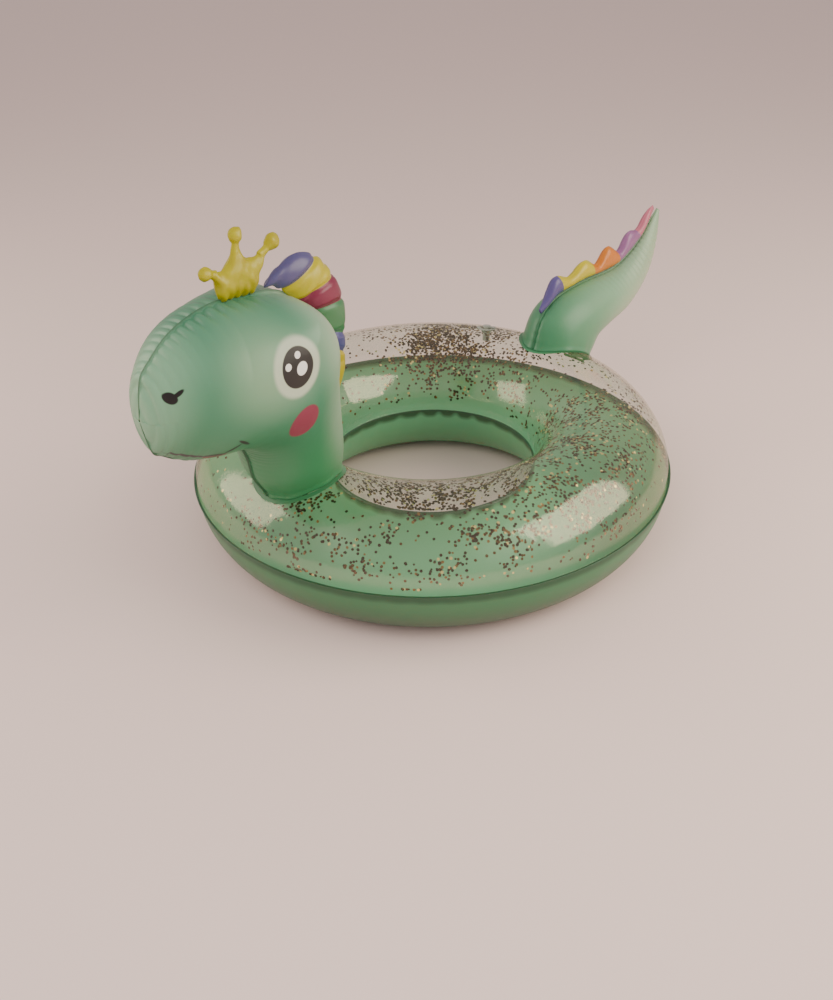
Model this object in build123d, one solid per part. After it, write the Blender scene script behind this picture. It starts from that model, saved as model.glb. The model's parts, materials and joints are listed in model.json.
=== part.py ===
from build123d import *
import math
import os

# Inflatable swim ring with a dragon's head and tail, every piece of film and every valve part on its own.
# Millimetres, +Z up. The origin is the centre of the swimmer's opening, at the level the ring rests on.
# The head looks along -Y, the tail stands at +Y, and the animal's left side is +X.

# ---------------------------------------------------------------- driving dimensions
RING_OUTER_D = 660.0        # 26 in across the inflated ring, weld margin included
MARGIN = 3.0                # width of the flat weld margins of the ring, head and tail
CREST_MARGIN = 1.5          # width of the mane's and the tail crest's
FILM = 0.3                  # PVC film thickness
TUBE_R = 92.0               # radius of the inflated tube
RING_R = RING_OUTER_D / 2 - MARGIN - TUBE_R     # radius of the tube's centre line
EQUATOR_Z = TUBE_R          # height of the ring's two weld seams
BAND_REACH = 6.0            # width of the weld bands at the foot of the neck and the tail
INNER_DEPTH = 5.0           # how far an inner solid runs past the plane x = 0, so that cuts are clean

# valve, measured from the film's outer face (z = 0), z pointing out of the float
FLANGE_R = 15.0
FLANGE_T = 0.8
GLUE_GAP = 0.05             # glue line between a flange and the film
THROAT_R = 10.0             # hole in the flange that the cone hangs in
STEM_R = 5.5
STEM_TOP = 1.0
STEM_LENGTH = 21.0
STEM_TRAVEL = 12.0
MOUTH_R = 4.1               # tapered mouth that the plug closes
MOUTH_DEPTH = 4.2
SOCKET_R = 3.2              # straight socket for a pump nozzle
SOCKET_LENGTH = 10.0
OUTLET_R = 4.0              # wider outlet below the socket
CAP_R = 6.0
CAP_T = 1.6
SHANK_TOP_R = 3.85
SHANK_TIP_R = 3.25
SHANK_LENGTH = 3.8
STRAP_REACH = 13.0          # living hinge's distance from the valve's axis
STRAP_W = 5.0
STRAP_T = 0.7
FLAP_R = 4.6
FLAP_T = 0.6
CONE_BOTTOM = -8.5
CONE_T = 0.6
RUNNING_GAP = 0.3           # between faces that move past each other

# Inflated bodies: each station is the body's width across one chord of its side view.
# (first edge y, z), (second edge y, z), half width
HEAD = [
    ((-286, 148), (-192, 148), 47),
    ((-296, 172), (-188, 176), 54),
    ((-310, 196), (-185, 206), 62),
    ((-316, 220), (-187, 250), 71),
    ((-322, 240), (-193, 298), 82),
    ((-330, 253), (-203, 338), 90),
    ((-341, 260), (-221, 380), 94),
    ((-354, 264), (-252, 418), 95),
    ((-372, 266), (-296, 437), 91),
    ((-388, 267), (-345, 439), 84),
    ((-404, 270), (-392, 430), 72),
    ((-423, 276), (-422, 414), 56),
    ((-441, 288), (-443, 395), 38),
    ((-452, 304), (-455, 371), 21),
    ((-457, 327), (-458, 347), 8),
    ((-458.6, 336.0), (-458.8, 339.0), 1.2),
]
TAIL = [
    ((220, 150), (308, 124), 40),
    ((216, 178), (323, 145), 48),
    ((221, 200), (336, 160), 49),
    ((236, 229), (346, 167), 47),
    ((266, 247), (358, 170), 45),
    ((302, 253), (374, 173), 42),
    ((350, 254), (396, 177), 38),
    ((402, 253), (422, 184), 33),
    ((430, 260), (452, 200), 28),
    ((456, 272), (484, 226), 21),
    ((478, 287), (504, 258), 14),
    ((497, 305), (514, 290), 7.5),
    ((513.5, 319), (517, 316.5), 1.8),
]
MANE = [
    ((-268, 440), (-261, 449), 4),
    ((-261, 436), (-249, 456), 10),
    ((-250, 429), (-232, 461), 15),
    ((-233, 414), (-206, 459), 19),
    ((-217, 392), (-181, 425), 20),
    ((-205, 365), (-164, 385), 20),
    ((-196, 335), (-156, 345), 19),
    ((-188.5, 305), (-155, 307), 17),
    ((-184, 279), (-160, 276), 12),
    ((-182, 258), (-173, 256), 5),
]
CREST = [
    ((234, 236), (229, 243), 4),
    ((250, 245), (245, 259), 7),
    ((266, 254), (262, 279), 8),
    ((297, 258), (294, 268), 7),
    ((330, 260), (334, 284), 8),
    ((362, 259), (363, 268), 7),
    ((389, 258), (388, 290), 8),
    ((414, 261), (417, 272), 7),
    ((440, 270), (438, 299), 7),
    ((464, 284), (460, 295), 6),
    ((488.5, 306.5), (485, 318), 5),
    ((501, 318), (498, 327), 3.5),
]

# Crown: a flat pouch of two films, its three points ending in balls
CROWN_FOOT = (-304, 443.5)
CROWN_BODY_W = 62.0         # along the head, at the foot
CROWN_BODY_H = 40.0
CROWN_BODY_T = 20.0
CROWN_BALLS = [((-358, 476), 9.0), ((-298, 508), 8.5), ((-252, 488), 8.5)]
CROWN_NECK_R = 4.6          # the pinch below each ball
CROWN_ROOT_R = 10.0         # each point's radius where it leaves the body

# Loose confetti inside the ring
FLAKE_R = 1.9
FLAKE_T = 0.12
FLAKE_COUNT = 144
GOLDEN_ANGLE = 137.508
ARC_STEPS = 8               # spans in the arc of one half section
CREST_ARC_STEPS = 4         # and of the small, straight-sided tail crest

# Valve places
RING_VALVE_BEARING = 114.0  # degrees from +X, on top of the tube at the back right of the animal
RING_VALVE_LEAN = 11.5      # degrees outward from straight up
HEAD_VALVE_STATION = 3
TAIL_VALVE_STATION = 4


# ---------------------------------------------------------------- inflated bodies
def arc(middle, along, out, steps):
    """Half an ellipse from middle - along to middle + along, bulging towards out."""
    angles = [math.pi * k / steps for k in range(steps + 1)]
    points = [middle - along * math.cos(t) + out * math.sin(t) for t in angles]
    return Spline(*points, tangents=[out.normalized(), out.normalized() * -1])


def half_section(station, grow, depth, steps):
    """Half an ellipse standing on the station's chord, carried on to x = -depth by straight sides."""
    first, second, half_width = station
    middle = Vector(0, (first[0] + second[0]) / 2, (first[1] + second[1]) / 2)
    chord = Vector(0, second[0] - first[0], second[1] - first[1])
    along = chord.normalized() * (chord.length / 2 + grow)
    curve = arc(middle, along, Vector(half_width + grow, 0, 0), steps)
    if depth == 0:
        return make_face([curve, Line(curve @ 1, curve @ 0)])
    back = Vector(-depth, 0, 0)
    end, start = curve @ 1, curve @ 0
    return make_face([curve, Line(end, end + back), Line(end + back, start + back), Line(start + back, start)])


def margin_section(station, tab):
    """A slim rectangle on the station's chord that reaches tab past both its ends."""
    first, second, half_width = station
    middle = Vector(0, (first[0] + second[0]) / 2, (first[1] + second[1]) / 2)
    chord = Vector(0, second[0] - first[0], second[1] - first[1])
    along = chord.normalized() * (chord.length / 2 + tab)
    lift = Vector(FILM, 0, 0)
    corners = [middle - along, middle + along, middle + along + lift, middle - along + lift]
    return make_face(Polyline(*corners, close=True))


def half_body(stations, grow=0.0, depth=0.0):
    """The left half of a smooth solid body through the stations, made larger by grow all round."""
    return loft([half_section(station, grow, depth, ARC_STEPS) for station in stations])


def film_body(stations, tab):
    """The left half of a body's skin with its flat weld margins."""
    plate = loft([margin_section(station, tab) for station in stations])
    return (half_body(stations) + plate) - half_body(stations, -FILM, INNER_DEPTH)


def film_crest():
    """The left half of the tail crest's skin, straight between its stations, with its weld margins."""
    outer = [half_section(station, 0.0, 0.0, CREST_ARC_STEPS) for station in CREST]
    inner = [half_section(station, -FILM, INNER_DEPTH, CREST_ARC_STEPS) for station in CREST[1:-1]]
    plate = [margin_section(station, CREST_MARGIN) for station in CREST]
    return (loft(outer, True) + loft(plate, True)) - loft(inner, True)


def skin_layer(stations, outside, inside):
    """The layer between two offsets of the left half of a body."""
    return half_body(stations, outside) - half_body(stations, inside, INNER_DEPTH)


def mirrored(shape):
    """The same shape on the other side of the plane x = 0."""
    return mirror(shape, about=Plane.YZ)


def ring_solid(grow=0.0):
    """The inflated tube as a solid torus."""
    return Pos(0, 0, EQUATOR_Z) * Torus(RING_R, TUBE_R + grow)


def ring_sheet(side):
    """One half of the ring's skin with its two flat margins, turned about Z; side is 1 above, -1 below."""
    width = 2 * (TUBE_R + MARGIN)
    gap = Circle(TUBE_R) - Circle(TUBE_R - FILM)
    half = gap & (Pos(0, side * width / 2) * Rectangle(width, width))
    margin = Pos(0, side * FILM / 2) * Rectangle(width, FILM)
    margin = margin - Circle(TUBE_R - FILM / 2)
    profile = Plane.XZ * (Pos(RING_R, EQUATOR_Z) * (half + margin))
    return revolve(profile, Axis.Z, 360)


# ---------------------------------------------------------------- valves
def valve_plane(point, normal, strap_towards):
    """A frame whose z leaves the film and whose x points the way the plug's strap lies."""
    z_dir = Vector(*normal).normalized()
    towards = Vector(*strap_towards)
    x_dir = (towards - z_dir * towards.dot(z_dir)).normalized()
    return Plane(origin=point, x_dir=x_dir, z_dir=z_dir)


def side_place(stations, index):
    """The point on a body's right side at one station, and the skin's normal there."""
    def middle(k):
        first, second, half = stations[k]
        return Vector(-half, (first[0] + second[0]) / 2, (first[1] + second[1]) / 2)

    first, second, half = stations[index]
    along = middle(index + 1) - middle(index - 1)
    across = Vector(0, second[0] - first[0], second[1] - first[1])
    normal = along.cross(across).normalized()
    if normal.X > 0:
        normal = normal * -1
    return middle(index), normal


def ring_valve_place():
    """The point on the ring where its valve sits, and the normal there."""
    bearing = math.radians(RING_VALVE_BEARING)
    lean = math.radians(RING_VALVE_LEAN)
    out = Vector(math.cos(bearing), math.sin(bearing), 0)
    normal = out * math.sin(lean) + Vector(0, 0, math.cos(lean))
    return out * RING_R + Vector(0, 0, EQUATOR_Z) + normal * TUBE_R, normal


def turned(points):
    """A solid of revolution about the valve's axis, from (radius, height) points."""
    outline = make_face(Polyline(*[(r, 0, h) for r, h in points], close=True))
    return revolve(outline, Axis.Z, 360)


def valve_stem():
    """The soft tube: tapered mouth, straight socket, wider outlet, and the strap's lower leaf."""
    socket_top = STEM_TOP - MOUTH_DEPTH
    socket_bottom = socket_top - SOCKET_LENGTH
    mouth_tip_r = MOUTH_R - 0.65
    bottom = STEM_TOP - STEM_LENGTH
    tube = turned([
        (MOUTH_R, STEM_TOP), (STEM_R, STEM_TOP), (STEM_R, bottom), (OUTLET_R, bottom),
        (OUTLET_R, socket_bottom), (SOCKET_R, socket_bottom), (SOCKET_R, socket_top),
        (mouth_tip_r, socket_top),
    ])
    leaf_top = STEM_TOP - 0.1
    start = STEM_R - 0.6
    leaf = Pos((start + STRAP_REACH) / 2, 0, leaf_top - STRAP_T / 2)
    leaf = leaf * Box(STRAP_REACH - start, STRAP_W, STRAP_T)
    return tube + leaf


def valve_plug():
    """The captive plug: cap, tapered shank and the strap's upper leaf."""
    cap = turned([
        (0, STEM_TOP), (CAP_R, STEM_TOP), (CAP_R, STEM_TOP + CAP_T), (0, STEM_TOP + CAP_T),
    ])
    shank = turned([
        (0, STEM_TOP), (0, STEM_TOP - SHANK_LENGTH), (SHANK_TIP_R, STEM_TOP - SHANK_LENGTH),
        (SHANK_TOP_R, STEM_TOP),
    ])
    start = CAP_R - 0.6
    leaf = Pos((start + STRAP_REACH) / 2, 0, STEM_TOP + STRAP_T / 2)
    leaf = leaf * Box(STRAP_REACH - start, STRAP_W, STRAP_T)
    return cap + shank + leaf


def valve_flap():
    """The check flap that closes the stem's inner end."""
    top = STEM_TOP - STEM_LENGTH
    return Pos(0, 0, top - FLAP_T / 2) * Cylinder(FLAP_R, FLAP_T)


def valve_cone():
    """The soft cone that hangs in the flange and lets the stem sink into the float."""
    rim = THROAT_R
    inner = STEM_R + RUNNING_GAP
    return turned([
        (rim, -0.35), (rim, -2.8), (inner + CONE_T, CONE_BOTTOM), (inner, CONE_BOTTOM),
        (inner, CONE_BOTTOM + 1.6), (rim - CONE_T, -2.2), (rim - CONE_T, -0.35),
    ])


def valve_pieces(name, plane, layer):
    """The valve's five pieces; its flange is the part of the layer under the skin round the throat."""
    reach = 2 * FLANGE_R
    ring = plane * (Cylinder(FLANGE_R, reach) - Cylinder(THROAT_R, reach))
    return {
        name + "_valve_flange": ring & layer,
        name + "_valve_cone": plane * valve_cone(),
        name + "_valve_stem": plane * valve_stem(),
        name + "_valve_plug": plane * valve_plug(),
        name + "_valve_flap": plane * valve_flap(),
    }


def valve_hole(plane):
    """The cutter for the hole in the film over a valve."""
    return plane * Cylinder(THROAT_R, 2 * FLANGE_R)


# ---------------------------------------------------------------- crown and confetti
def crown_solid(grow=0.0):
    """The crown as a solid: a flattened body and three tapering points with a ball on each."""
    foot_y, foot_z = CROWN_FOOT
    hub = Vector(0, foot_y, foot_z + 4)
    middle = Plane(origin=hub, x_dir=(1, 0, 0), z_dir=(0, 0, 1))
    low = middle * Ellipse(CROWN_BODY_T / 2 + grow, CROWN_BODY_W / 2 + grow)
    high = middle.offset(CROWN_BODY_H / 2 + grow)
    high = high * Ellipse(CROWN_BODY_T * 0.3 + grow, CROWN_BODY_W * 0.36 + grow)
    under = middle.offset(-10 - grow)
    under = under * Ellipse(CROWN_BODY_T * 0.4 + grow, CROWN_BODY_W * 0.46 + grow)
    solid = loft([under, low, high])
    for (ball_y, ball_z), ball_r in CROWN_BALLS:
        ball = Vector(0, ball_y, ball_z)
        root = Vector(0, foot_y + (ball_y - foot_y) * 0.35, foot_z + 12)
        along = ball - root
        spike = Plane(origin=root + along * 0.5, z_dir=along)
        solid = solid + spike * Cone(CROWN_ROOT_R + grow, CROWN_NECK_R + grow, along.length)
        solid = solid + Pos(*ball) * Sphere(ball_r + grow)
    return solid


def flake_places():
    """Bearing round the ring and angle round the tube for each flake, spread by the golden angle."""
    places = []
    for i in range(FLAKE_COUNT):
        bearing = (i * GOLDEN_ANGLE) % 360
        around = 90 + 75 * math.sin(i * 2.399)
        places.append((bearing, around))
    return places


def confetti():
    """The flakes, each lying against the inside of the ring's clear sheet."""
    flake = Cylinder(FLAKE_R, FLAKE_T)
    lie_r = TUBE_R - FILM - FLAKE_T - 0.1
    flakes = []
    for bearing, around in flake_places():
        tube_point = Rot(0, 0, bearing) * Pos(RING_R, 0, EQUATOR_Z) * Rot(0, 90 - around, 0)
        flakes.append(tube_point * Pos(0, 0, lie_r) * flake)
    return Compound(children=flakes)


# ---------------------------------------------------------------- assembly
def flange_layer(stations):
    """The right-hand layer just under a body's skin that a valve flange is cut from."""
    return mirrored(skin_layer(stations, -FILM - GLUE_GAP, -FILM - FLANGE_T))


def weld_band(stations, layer):
    """The film band round the foot of a body, lying on the ring."""
    outer = [half_section(station, BAND_REACH, 0.0, ARC_STEPS) for station in stations]
    inner = [half_section(station, -FILM, INNER_DEPTH, ARC_STEPS) for station in stations]
    half = (loft(outer, True) & layer) - loft(inner, True)
    return half + mirrored(half)


def largest_solid(shape):
    """The biggest solid of a cut shape, without slivers."""
    return max(shape.solids(), key=lambda solid: solid.volume)


def build_nodes():
    nodes = {}
    ring = ring_solid()
    standing = ring_solid(FILM)
    band_layer = standing - ring

    point, normal = ring_valve_place()
    ring_plane = valve_plane(point, normal, (normal.Y, -normal.X, 0))
    nodes["ring_top_sheet"] = ring_sheet(1) - valve_hole(ring_plane)
    nodes["ring_bottom_sheet"] = ring_sheet(-1)
    nodes["confetti"] = confetti()
    under_skin = ring_solid(-FILM - GLUE_GAP) - ring_solid(-FILM - FLANGE_T)
    nodes.update(valve_pieces("ring", ring_plane, under_skin))

    panel = largest_solid(film_body(HEAD, MARGIN) - standing)
    point, normal = side_place(HEAD, HEAD_VALVE_STATION)
    head_plane = valve_plane(point, normal, (0, 0.3, 1))
    nodes["head_left_panel"] = panel
    nodes["head_right_panel"] = largest_solid(mirrored(panel) - valve_hole(head_plane))
    nodes["neck_weld_band"] = weld_band(HEAD[:4], band_layer)
    nodes.update(valve_pieces("head", head_plane, flange_layer(HEAD)))

    mane = film_body(MANE, CREST_MARGIN)
    nodes["mane_left_panel"] = mane
    nodes["mane_right_panel"] = mirrored(mane)
    above_seam = Pos(350, 0, CROWN_FOOT[1] + 350) * Box(700, 1400, 700)
    crown = largest_solid((crown_solid() - crown_solid(-FILM)) & above_seam)
    nodes["crown_left_panel"] = crown
    nodes["crown_right_panel"] = mirrored(crown)

    panel = largest_solid(film_body(TAIL, MARGIN) - standing)
    point, normal = side_place(TAIL, TAIL_VALVE_STATION)
    tail_plane = valve_plane(point, normal, (0, 1, 0.2))
    nodes["tail_left_panel"] = panel
    nodes["tail_right_panel"] = largest_solid(mirrored(panel) - valve_hole(tail_plane))
    nodes["tail_weld_band"] = weld_band(TAIL[:4], band_layer)
    nodes.update(valve_pieces("tail", tail_plane, flange_layer(TAIL)))

    crest = film_crest()
    nodes["crest_left_panel"] = crest
    nodes["crest_right_panel"] = mirrored(crest)

    for name, plane in (("ring", ring_plane), ("head", head_plane), ("tail", tail_plane)):
        strap_hinge = plane.from_local_coords(Vector(STRAP_REACH, 0, STEM_TOP - 0.05))
        flap_hinge = plane.from_local_coords(Vector(-FLAP_R, 0, STEM_TOP - STEM_LENGTH))
        socket = plane.from_local_coords(Vector(0, 0, STEM_TOP - MOUTH_DEPTH - SOCKET_LENGTH / 2))
        print(name, "valve at", plane.origin, "outward", plane.z_dir, "across", plane.y_dir)
        print("   strap hinge", strap_hinge, "flap hinge", flap_hinge, "socket", socket)
    return nodes


def main():
    os.makedirs("parts", exist_ok=True)
    for name, shape in build_nodes().items():
        export_step(shape, "parts/" + name + ".step")


main()
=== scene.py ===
import json
import math

import bpy
import numpy as np
from bpy.props import FloatProperty, FloatVectorProperty, IntProperty, PointerProperty
from mathutils import Matrix, Vector


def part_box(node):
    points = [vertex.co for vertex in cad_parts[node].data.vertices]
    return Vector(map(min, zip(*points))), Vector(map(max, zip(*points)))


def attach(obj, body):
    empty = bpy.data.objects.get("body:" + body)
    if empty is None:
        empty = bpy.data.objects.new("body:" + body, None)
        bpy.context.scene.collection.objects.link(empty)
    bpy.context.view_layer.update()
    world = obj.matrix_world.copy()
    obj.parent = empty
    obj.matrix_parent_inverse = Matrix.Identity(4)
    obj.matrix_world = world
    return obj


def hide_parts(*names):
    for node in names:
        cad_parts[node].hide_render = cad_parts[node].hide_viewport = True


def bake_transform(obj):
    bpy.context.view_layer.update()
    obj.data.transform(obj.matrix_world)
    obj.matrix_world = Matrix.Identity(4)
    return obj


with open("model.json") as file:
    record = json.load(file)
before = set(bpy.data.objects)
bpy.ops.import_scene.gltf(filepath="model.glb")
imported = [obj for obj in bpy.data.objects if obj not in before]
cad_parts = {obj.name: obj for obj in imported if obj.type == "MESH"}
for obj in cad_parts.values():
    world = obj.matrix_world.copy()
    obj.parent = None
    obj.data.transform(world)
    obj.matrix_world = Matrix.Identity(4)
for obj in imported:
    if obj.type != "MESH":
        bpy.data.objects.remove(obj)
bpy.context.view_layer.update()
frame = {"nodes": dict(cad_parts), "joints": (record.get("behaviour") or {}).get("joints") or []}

bl_info = {
    "name": "Dragon swim ring",
    "version": (1, 0, 0),
    "blender": (4, 5, 0),
    "location": "View3D > Sidebar > Swim ring",
    "description": "Builds an inflated swim ring with a dragon's head, mane, crown and spiked tail",
    "category": "Add Mesh",
}

MM = 0.001
FILM = 0.3 * MM

# The ring's own sizes come from its CAD node.
RING_LOW, RING_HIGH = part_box("ring_top_sheet")
MARGIN = 3 * MM
OUTER_R = RING_HIGH.x
TUBE_R = RING_HIGH.z - RING_LOW.z
EQUATOR = RING_LOW.z
RING_R = OUTER_R - MARGIN - TUBE_R

# Inflated bodies, in millimetres: the front or upper edge (y, z) of the side view, the back or lower
# edge (y, z), and the half width there. They follow the CAD bodies' stations, a little fuller where the
# film swells between them.
HEAD = np.array([
    (-286, 148, -192, 148, 45), (-296, 172, -188, 176, 52), (-310, 196, -185, 206, 60),
    (-316, 220, -190, 250, 68), (-322, 240, -199, 300, 77), (-330, 253, -206, 344, 86),
    (-341, 260, -218, 390, 94), (-354, 264, -249, 422, 96), (-372, 266, -296, 434, 91),
    (-388, 267, -345, 439, 84), (-404, 270, -392, 430, 72), (-423, 276, -422, 414, 56),
    (-441, 288, -443, 395, 38), (-452, 304, -455, 371, 21), (-457, 327, -458, 347, 8),
    (-458.6, 336, -458.8, 339, 1.2),
])
# How square the head's section is behind its middle: (share of the length, power), 1 being an ellipse.
HEAD_FULLNESS = ((0, 0.97), (0.2, 0.96), (0.4, 0.86), (0.47, 0.67),
                 (0.56, 0.5), (0.63, 0.66), (0.72, 0.95), (1, 1))
ELLIPSE = ((0, 1), (1, 1))
TAIL = np.array([
    (220, 150, 308, 124, 40), (216, 178, 323, 145, 48), (221, 200, 336, 160, 49),
    (236, 229, 346, 167, 47), (266, 247, 358, 170, 45), (302, 253, 374, 173, 42),
    (350, 254, 396, 177, 38), (402, 253, 422, 184, 33), (430, 260, 452, 200, 28),
    (456, 272, 484, 226, 21), (478, 287, 504, 258, 14), (497, 305, 514, 290, 7.5),
    (513.5, 319, 517, 316.5, 1.8),
])
MANE = np.array([
    (-272, 435, -263, 445, 3), (-263, 433, -246, 455, 7), (-251, 427, -228, 461, 10.5),
    (-236, 412, -203, 457, 15), (-219, 392, -174, 430, 20), (-207, 365, -155, 386, 19),
    (-200, 335, -155, 345, 17), (-194, 305, -157, 308, 15), (-190, 279, -164, 276, 11),
    (-187, 258, -179, 256, 4),
])
CREST = np.array([
    (233, 234, 229, 242, 2), (250, 245, 245, 260, 7), (266, 253, 262, 281, 9),
    (297, 257, 296, 272, 8), (330, 259, 334, 286, 9.5), (362, 258, 364, 272, 8),
    (389, 257, 388, 292, 9), (414, 260, 416, 277, 8), (440, 269, 438, 300, 8),
    (464, 283, 460, 299, 7), (488, 306, 484, 320, 5.5), (503, 320, 500, 328, 1.5),
])
# The crown's pouch: foot (y, z), top edge (y, z) and half width, from its front point to its back one.
CROWN = np.array([
    (-342.5, 467.5, -342.5, 473.5, 3.4), (-338.5, 457, -336, 472.5, 6.5), (-336, 441, -327.4, 473, 9),
    (-322, 437, -317.5, 481.5, 10), (-312, 436, -311.5, 489, 10), (-303, 435, -303.5, 489, 10),
    (-294, 435, -296, 478.5, 9.5), (-286, 436, -287.5, 476, 8.5), (-280.5, 450, -279, 476.3, 6.5),
    (-275, 461, -273, 478, 6), (-269, 471.5, -268.5, 479, 3.6),
])
# The crown's points: root (y, z), ball (y, z), radius of the neck and of the ball.
CROWN_POINTS = ((-339, 470.5, -351.2, 475.4, 3.4, 8.0), (-308, 484, -305.7, 507.9, 4.4, 8.8),
                (-273, 475, -255.7, 486.2, 3.8, 9.8))
BALL_LENGTH = 1.08                      # a ball's half length over its radius
CROWN_FOOT = 438                        # height of the weld that gathers the crown's film
CROWN_VOXEL = 0.9 * MM

# How far each effect of a seam reaches from it.
PLEAT_REACH = 9 * MM
GROOVE_REACH = 2.2 * MM
INNER_FOLD_REACH = 20 * MM
OUTER_FOLD_REACH = 13 * MM

# The two feet welded to the ring: centre (y) and radius on the ring's skin, and how deep their creases are.
FEET = ((-240 * MM, 52 * MM, 1.6 * MM), (264 * MM, 50 * MM, 1.2 * MM))
WELD_LIFT = 0.35 * MM                   # how high a foot's film starts above the ring's skin

# A valve's soft cone, in millimetres: radius and depth at its wide and narrow ends, and how far the
# plug's hinge stands from the valve's axis and above its flange.
CONE_WIDE, CONE_NARROW = 10.4, 5.45
CONE_TOP, CONE_DEPTH = -1.2, 7.3
HINGE_OUT, HINGE_UP = 13.0, 0.95


# ------------------------------------------------------------------ settings
class RingSettings(bpy.types.PropertyGroup):
    """Sizes and colours of the ring and what is in it."""
    seam_fold: FloatProperty(
        name="Seam fold depth", description="Depth of the folds that gather along the inner seam",
        default=2.2 * MM, unit="LENGTH")
    clear_tint: FloatVectorProperty(
        name="Clear film", description="Faint tint of the clear upper film",
        default=(0.975, 0.985, 0.97), subtype="COLOR")
    flakes: IntProperty(
        name="Flakes", description="Number of loose confetti flakes", default=7400)
    flake_size: FloatProperty(
        name="Flake size", description="Width of one flake across its flats",
        default=3.9 * MM, unit="LENGTH")


class BodySettings(bpy.types.PropertyGroup):
    """Sizes of the head, mane, crown and tail films."""
    pleat_depth: FloatProperty(
        name="Pleat depth", description="Depth of the pleats that gather along the head's seam",
        default=4.2 * MM, unit="LENGTH")
    groove: FloatProperty(
        name="Seam groove", description="How far the seam sinks between the two panels",
        default=2.8 * MM, unit="LENGTH")


def settings(kind):
    """The scene's settings of one kind, ring or body."""
    return getattr(bpy.context.scene, "swim_" + kind)


# ------------------------------------------------------------------ colour and nodes
def linear(code):
    """An sRGB hex colour as linear red, green, blue and alpha."""
    parts = [int(code[k:k + 2], 16) / 255 for k in (1, 3, 5)]
    return tuple(p / 12.92 if p <= 0.04045 else ((p + 0.055) / 1.055) ** 2.4 for p in parts) + (1.0,)


def add(tree, kind, inputs=None, **values):
    """One new node; inputs maps socket names or numbers to values or to sockets that are linked in."""
    node = tree.nodes.new(kind)
    for key, value in values.items():
        setattr(node, key, value)
    for key, value in (inputs or {}).items():
        if isinstance(value, bpy.types.NodeSocket):
            tree.links.new(value, node.inputs[key])
        else:
            node.inputs[key].default_value = value
    return node


def new_material(name):
    """An empty node material with its output node."""
    material = bpy.data.materials.new(name)
    material.use_nodes = True
    material.node_tree.nodes.clear()
    output = material.node_tree.nodes.new("ShaderNodeOutputMaterial")
    return material, material.node_tree, output


def mixed(tree, share, under, over):
    """The colour over laid on the colour under by a share."""
    node = add(tree, "ShaderNodeMix", data_type="RGBA")
    for name, value in (("Factor_Float", share), ("A_Color", under), ("B_Color", over)):
        socket = next(s for s in node.inputs if s.identifier == name)
        if isinstance(value, bpy.types.NodeSocket):
            tree.links.new(value, socket)
        else:
            socket.default_value = value
    return next(s for s in node.outputs if s.identifier == "Result_Color")


def from_axis(tree, place):
    """Distance from the middle of the swimmer's opening."""
    flat = add(tree, "ShaderNodeVectorMath", {0: place, 1: (1, 1, 0)}, operation="MULTIPLY")
    return add(tree, "ShaderNodeVectorMath", {0: flat.outputs[0]}, operation="LENGTH").outputs["Value"]


def ellipse_mask(tree, place, centre, radii, angle=0.0, soft=0.05):
    """1 inside an ellipse drawn on the side view, from its centre and radii in mm and its turn in degrees."""
    side = add(tree, "ShaderNodeMapping", {"Vector": place, "Scale": (0, 1, 1)}, vector_type="POINT")
    local = add(tree, "ShaderNodeMapping", {
        "Vector": side.outputs[0], "Location": (0, centre[0] * MM, centre[1] * MM),
        "Rotation": (math.radians(angle), 0, 0), "Scale": (1, radii[0] * MM, radii[1] * MM),
    }, vector_type="TEXTURE")
    length = add(tree, "ShaderNodeVectorMath", {0: local.outputs[0]}, operation="LENGTH")
    return add(tree, "ShaderNodeMapRange", {
        "Value": length.outputs["Value"], "From Min": 1 - soft, "From Max": 1 + soft,
        "To Min": 1.0, "To Max": 0.0,
    }, interpolation_type="SMOOTHSTEP").outputs[0]


def film_surface(tree, output, colour, place, roughness=0.42, coat=0.12):
    """Soft vinyl: a satin sheen from fine calender grain, and faint slack ripples a few centimetres long."""
    # The grain is drawn about 1 mm coarse, because the real grain is too fine to show.
    grain = add(tree, "ShaderNodeTexNoise", {"Vector": place, "Scale": 900.0, "Detail": 2.0})
    slack = add(tree, "ShaderNodeTexNoise", {"Vector": place, "Scale": 34.0, "Detail": 3.0})
    coarse = add(tree, "ShaderNodeBump", {
        "Height": slack.outputs[0], "Strength": 0.35, "Distance": 1.6 * MM})
    fine = add(tree, "ShaderNodeBump", {
        "Height": grain.outputs[0], "Strength": 0.08, "Distance": 0.3 * MM,
        "Normal": coarse.outputs[0]})
    patchy = add(tree, "ShaderNodeMapRange", {
        "Value": slack.outputs[0], "To Min": roughness - 0.05, "To Max": roughness + 0.07})
    shader = add(tree, "ShaderNodeBsdfPrincipled", {
        "Base Color": colour, "Roughness": patchy.outputs[0], "IOR": 1.53,
        "Coat Weight": coat, "Coat Roughness": 0.25, "Normal": fine.outputs[0],
        "Subsurface Weight": 0.06, "Subsurface Scale": 10 * MM,
    })
    tree.links.new(shader.outputs[0], output.inputs["Surface"])
    return shader


def gradient(tree, place, start, end):
    """0 to 1 from one point to another, in mm (x, y, z), smooth at both ends."""
    run = (Vector(end) - Vector(start)) * MM
    shifted = add(tree, "ShaderNodeVectorMath", {0: place, 1: Vector(start) * MM}, operation="SUBTRACT")
    along = add(tree, "ShaderNodeVectorMath", {0: shifted.outputs[0], 1: run / run.length_squared},
                operation="DOT_PRODUCT")
    return add(tree, "ShaderNodeMapRange", {"Value": along.outputs["Value"]},
               interpolation_type="SMOOTHSTEP").outputs[0]


def length_map(tree):
    """A film's own two coordinates: along its length, and from one seam to the other."""
    return add(tree, "ShaderNodeSeparateXYZ", {
        0: add(tree, "ShaderNodeUVMap", uv_map="length").outputs[0]}).outputs


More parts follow.
